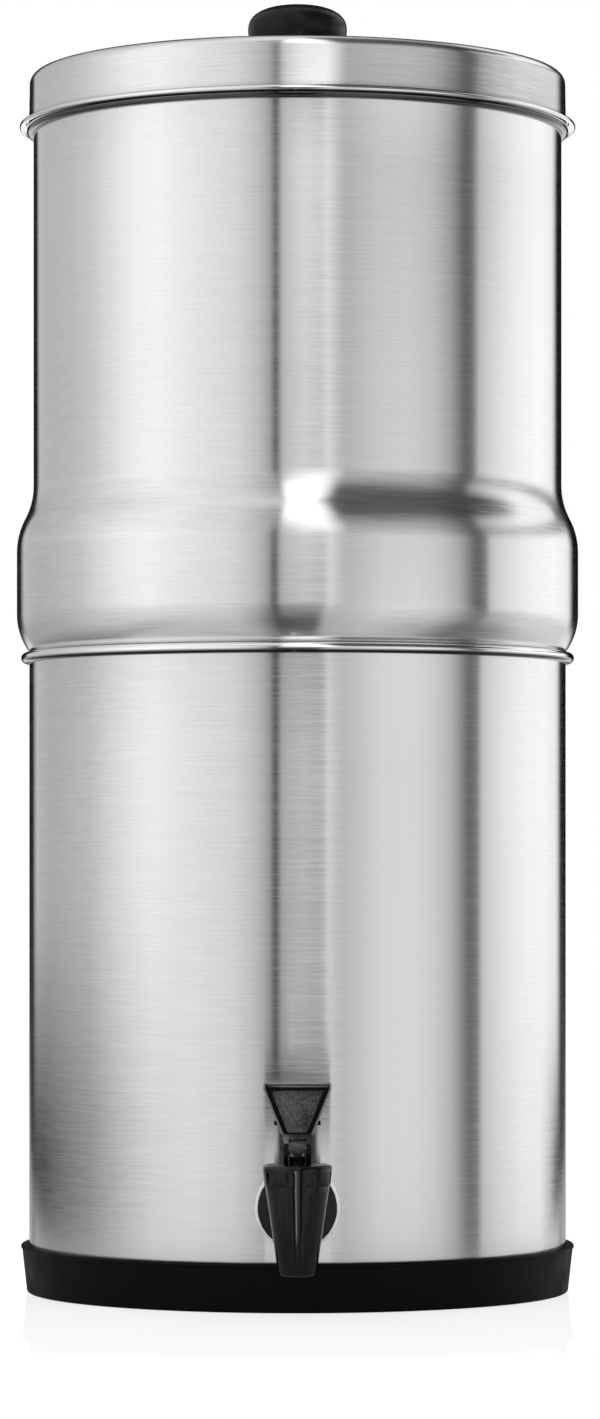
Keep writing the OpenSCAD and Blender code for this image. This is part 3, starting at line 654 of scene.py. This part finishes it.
for x in (SLOT_W / 2, -SLOT_W / 2 - LEG_T):
    combine(lever, plate("leg", [(x, TAP_Y + y, PIN_Z + z) for y, z in leg], (LEG_T, 0, 0)), "UNION")
for side in (-1, 1):
    bpy.ops.object.select_all(action="DESELECT")
    bpy.ops.mesh.primitive_cube_add(size=MM, location=Vector((side * NUB_X, TAP_Y, PADDLE_Z + NUB_H)) * MM)
    bpy.ops.transform.resize(value=NUB_SIZE)
    combine(lever, bpy.context.object, "UNION")
drill(lever, (0, TAP_Y, PIN_Z), PIN_HOLE_D, 40, (0, pi / 2, 0))
for face in lever.data.polygons:
    if abs(face.center.y / MM - FRONT_Y - RECESS_DEPTH) < 0.05 and face.normal.y < -0.99:
        face.material_index = GRAINED
smooth(lever)
place(lever, "lever", None, "gloss_black", "tap_lever")
dress("tap_lever_pin", "rod", 0.15, "lever", bright_steel, "plain_steel")

# ---- Upper chamber ----
# Drawn from the same sheet. Its foot nests in the lower rim, a hollow rests over
# the rim, and above the bulge a flare leads in to the neck and its own rolled rim.
NEST_R = WALL_R - 2.2
NECK_R = WALL_R - 1.7
BULGE_R = WALL_R + 5
UPPER_RIM_Z = 466.6
UPPER_BEAD_R = 1.8
NEST_Z = LOWER_RIM_Z - 18.5
STEM_R, STEM_HOLE_D = 52.5, 12.5
nest_corner_r, cradle_r, shoulder_r = 8, 4, 25
shoulder_x, shoulder_z = BULGE_R - shoulder_r, LOWER_RIM_Z + 17.6
cradle_x = NEST_R + cradle_r
cradle_z = shoulder_z - sqrt((shoulder_r + cradle_r) ** 2 - (cradle_x - shoulder_x) ** 2)
cradle_turn = degrees(atan2(shoulder_z - cradle_z, cradle_x - shoulder_x))
flare_z, flare_h = shoulder_z + 24.7, 27
flare_turn = degrees(2 * atan((BULGE_R - NECK_R) / flare_h))
flare_r = flare_h / 2 / sin(radians(flare_turn))
rim_x = NECK_R - SHEET + UPPER_BEAD_R
upper_path = (
    [(0, NEST_Z), (42, NEST_Z), (63, NEST_Z)]
    + arc(NEST_R - nest_corner_r, NEST_Z + nest_corner_r, nest_corner_r, -90, 0, 14)
    + arc(cradle_x, cradle_z, cradle_r, 180, 180 - cradle_turn, 10)
    + arc(shoulder_x, shoulder_z, shoulder_r, -cradle_turn, 0, 24)
    + arc(BULGE_R - flare_r, flare_z, flare_r, 0, flare_turn, 14)
    + arc(NECK_R + flare_r, flare_z + flare_h, flare_r, 180 + flare_turn, 180, 14)
    + [(NECK_R, z) for z in (360, 400, 440)]
    + arc(rim_x, UPPER_RIM_Z, UPPER_BEAD_R - SHEET, 180, CURL_END, 28)
)
upper_chamber = turned("upper_chamber_can", sheet_outline(upper_path, SHEET))
for quarter in range(4):
    a = quarter * pi / 2
    drill(upper_chamber, (STEM_R * cos(a), STEM_R * sin(a), NEST_Z), STEM_HOLE_D, 12)
smooth(upper_chamber)
# Its rolled rim is darkened with painted shade, as under the lid's brim, on all but its upward faces, which are painted
# lighter as a highlight.
upper_steel = brushed_steel("upper_brushed_steel", NECK_R + 0.15, 440, -0.1, 0.7, most=0.89)
place(upper_chamber, "upper_tank", upper_steel, "brushed_steel", "upper_chamber")

# ---- Candles ----
# Two hollow candles of porous fired ceramic round a carbon core, cemented into
# plastic bases whose threaded stems go through the floor and carry wing nuts.
ceramic = grainy("white_ceramic", (0.86, 0.83, 0.76), (0.93, 0.91, 0.86), 0.0007, 0.0001, 0.85)
carbon = grainy("carbon", (0.012, 0.012, 0.012), (0.05, 0.05, 0.052), 0.0009, 0.0002, 0.8)
pale_plastic = moulded("pale_plastic", (0.74, 0.77, 0.8), 0.38, grain=0.0015)
FLOOR_TOP = NEST_Z + SHEET
CANDLE_R, DOME_R, SHELL_T = 25, 15, 7.5
shell_z, shell_top = FLOOR_TOP + 6, FLOOR_TOP + 172
for i, x in ((1, STEM_R), (2, -STEM_R)):
    shell = turned(
        f"candle_shell_{i}_ceramic",
        [(CANDLE_R - SHELL_T, shell_z), (CANDLE_R, shell_z)]
        + arc(CANDLE_R - DOME_R, shell_top - DOME_R - 1, DOME_R, 0, 84, 18)
        + [(0, shell_top), (0, shell_top - SHELL_T)]
        + arc(CANDLE_R - DOME_R, shell_top - DOME_R - 1, DOME_R - SHELL_T, 84, 0, 10),
        closed=True,
        steps=96,
        axis_at=(x, 0),
    )
    place(shell, "upper_tank", ceramic, "white_ceramic", f"candle_shell_{i}")
    dress(f"candle_core_{i}", "block", 0, "upper_tank", carbon, "carbon")
    dress(f"candle_base_{i}", "cup", 0.3, "upper_tank", pale_plastic, "pale_plastic")
    dress(f"candle_washer_{i}", "seal", 0.3, "upper_tank", silicone, "white_silicone")
    dress(f"candle_wing_nut_{i}", "moulding", 0.4, "upper_tank", pale_plastic, "pale_plastic")

# ---- Blanking plugs ----
# Plastic plugs close the two floor holes that hold no candle, each with a washer
# above the floor and a wing nut below it.
for i in (1, 2):
    dress(f"plug_{i}", "moulding", 0.3, "upper_tank", pale_plastic, "pale_plastic")
    dress(f"plug_washer_{i}", "seal", 0.3, "upper_tank", silicone, "white_silicone")
    dress(f"plug_wing_nut_{i}", "moulding", 0.4, "upper_tank", pale_plastic, "pale_plastic")

# ---- Lid ----
# A pressed cap of the same brushed sheet. Its skirt turns out into a sloping brim
# that rides on the upper chamber's rim and ends in a rolled hem.
SKIRT_R = NECK_R + 1.8
LID_Z = UPPER_RIM_Z + 22.4
CROWN_H = 1
LID_TOP = LID_Z + CROWN_H
lid_corner_r, crease_r, hem_r, screw_hole_r, seat_r = 4, 0.5, 0.95, 2.3, 13.5
brim_slope, hem_end, rim_gap, brim_out, draft = 9, -100, 0.3, 2.8, 0.25
crown_w = SKIRT_R - draft - lid_corner_r - seat_r
crown_r = (crown_w ** 2 + CROWN_H ** 2) / (2 * CROWN_H)
brim_fall, brim_cos = tan(radians(brim_slope)), cos(radians(brim_slope))
hem_x = rim_x + UPPER_BEAD_R + brim_out - hem_r
hem_z = UPPER_RIM_Z + (UPPER_BEAD_R + rim_gap + SHEET - hem_r) / brim_cos - (hem_x - rim_x) * brim_fall
crease_x = SKIRT_R + crease_r
crease_z = hem_z + (hem_r + crease_r) / brim_cos + (hem_x - crease_x) * brim_fall
lid_path = (
    [(screw_hole_r, LID_TOP)]
    + arc(seat_r, LID_TOP - crown_r, crown_r, 90, 90 - degrees(asin(crown_w / crown_r)), 12)
    + arc(SKIRT_R - draft - lid_corner_r, LID_Z - lid_corner_r, lid_corner_r, 90, 0, 14)
    + arc(crease_x, crease_z, crease_r, 180, 270 - brim_slope, 6)
    + arc(hem_x, hem_z, hem_r, 90 - brim_slope, hem_end, 20)
)
lid = turned("lid_cap", sheet_outline(lid_path, -SHEET), closed=True)
# Its hem is painted lighter as a highlight, its underside in the middle of X darker with painted shade, and the crease
# at the skirt's foot darkened as a painted shadow line.
lid_steel = brushed_steel("lid_brushed_steel", SKIRT_R + 0.4, 440, -0.9, -0.6, fade=(0.08, 0.105), crease=SKIRT_R)
place(lid, "lid", lid_steel, "brushed_steel", "lid")

# ---- Knob, screw and washer ----
# A black moulded mushroom knob, drawn down on the lid by a screw from below with
# a rubber washer under the screw's head.
KNOB_R, KNOB_H, KNOB_NECK_R, TUCK_H = 19.95, 27.6, 11.5, 9
DOME_POWER, DOME_STEPS, TUCK_STEPS = 0.8, 24, 12
belt_z = 0.64 * KNOB_H
dome = [(0, KNOB_H)]
for i in range(1, DOME_STEPS + 1):
    a = radians(90 - i * 90 / DOME_STEPS)
    dome.append((KNOB_R * cos(a) ** DOME_POWER, belt_z + (KNOB_H - belt_z) * sin(a) ** DOME_POWER))
tuck = []
for i in range(1, TUCK_STEPS + 1):
    a = radians(i * 90 / TUCK_STEPS)
    tuck.append((KNOB_NECK_R + (KNOB_R - KNOB_NECK_R) * cos(a), belt_z - TUCK_H * sin(a)))
knob_outline = dome + tuck + arc(KNOB_NECK_R + 1.2, 2.2, 2.2, 180, 250, 6) + [(2, 0), (2, 13), (0, 13)]
knob = turned("lid_knob_moulding", [(r, LID_TOP + z) for r, z in knob_outline], steps=128)
place(knob, "lid", satin_black, "satin_black", "lid_knob")
dress("lid_knob_screw", "pan_head", 0.15, "lid", bright_steel, "plain_steel")
dress("lid_knob_washer", "ring", 0.2, "lid", rubber, "black_rubber")
